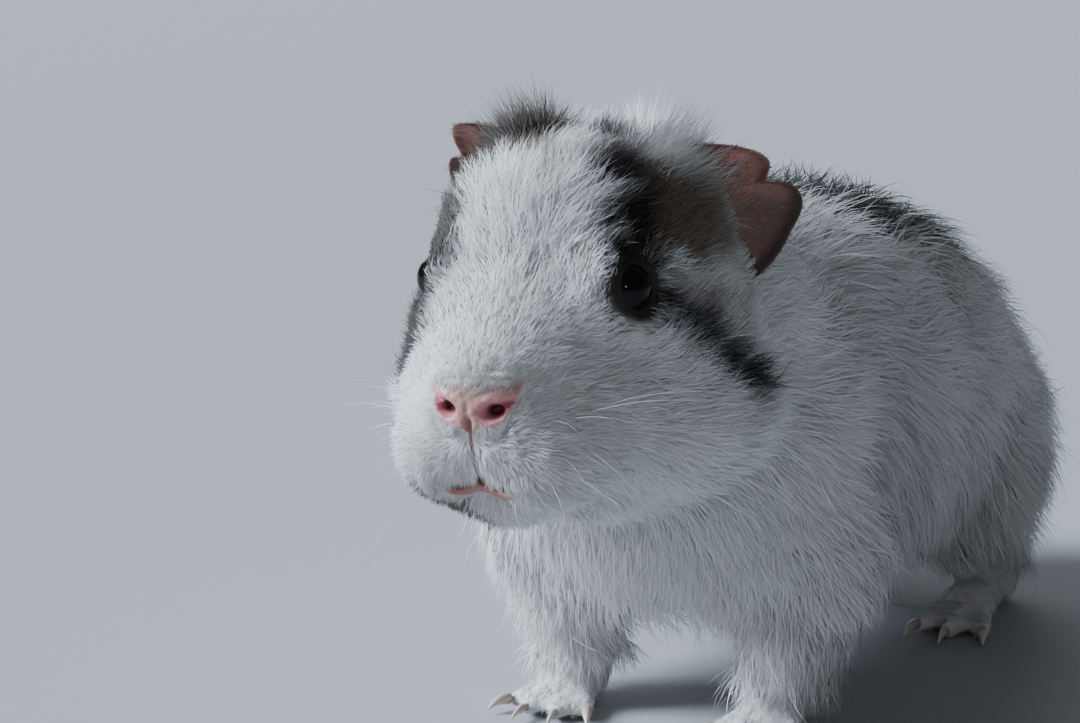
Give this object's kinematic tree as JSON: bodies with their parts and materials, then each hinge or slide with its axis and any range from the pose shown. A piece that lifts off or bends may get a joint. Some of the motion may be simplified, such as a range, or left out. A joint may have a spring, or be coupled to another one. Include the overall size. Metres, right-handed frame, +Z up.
{
  "type": "guinea pig",
  "caption": "Life-size standing guinea pig as a still model: rounded head, petal ears, stout body, short legs, rough white coat with dark patches.",
  "frame": {"origin": "on the floor under the centre of the animal's bounding box", "axes": "the animal faces -Y, its left side is +X, and +Z is up"},
  "size_m": [0.1012, 0.256, 0.1262],
  "materials": {
    "coat_white": "soft rough fur about 20 mm long, white with slate and brown patches",
    "bare_skin": "thin pink skin of the feet under short white hair",
    "ear_skin": "thin reddish brown skin with a darker rim and sparse hairs",
    "nose_skin": "moist pink skin with fine creases",
    "eye_black": "wet black eye with a dark brown iris",
    "claw_horn": "translucent pale horn"
  },
  "bodies": {
    "root": {"head": "coat_white", "neck": "coat_white", "trunk": "coat_white", "foreleg_left": "coat_white", "hindleg_left": "coat_white", "forefoot_left": "bare_skin", "hindfoot_left": "bare_skin", "ear_left": "ear_skin", "eye_left": "eye_black", "claw_fore_left_1": "claw_horn", "claw_fore_left_2": "claw_horn", "claw_fore_left_3": "claw_horn", "claw_fore_left_4": "claw_horn", "claw_hind_left_1": "claw_horn", "claw_hind_left_2": "claw_horn", "claw_hind_left_3": "claw_horn", "foreleg_right": "coat_white", "hindleg_right": "coat_white", "forefoot_right": "bare_skin", "hindfoot_right": "bare_skin", "ear_right": "ear_skin", "eye_right": "eye_black", "claw_fore_right_1": "claw_horn", "claw_fore_right_2": "claw_horn", "claw_fore_right_3": "claw_horn", "claw_fore_right_4": "claw_horn", "claw_hind_right_1": "claw_horn", "claw_hind_right_2": "claw_horn", "claw_hind_right_3": "claw_horn"}
  },
  "joints": []
}
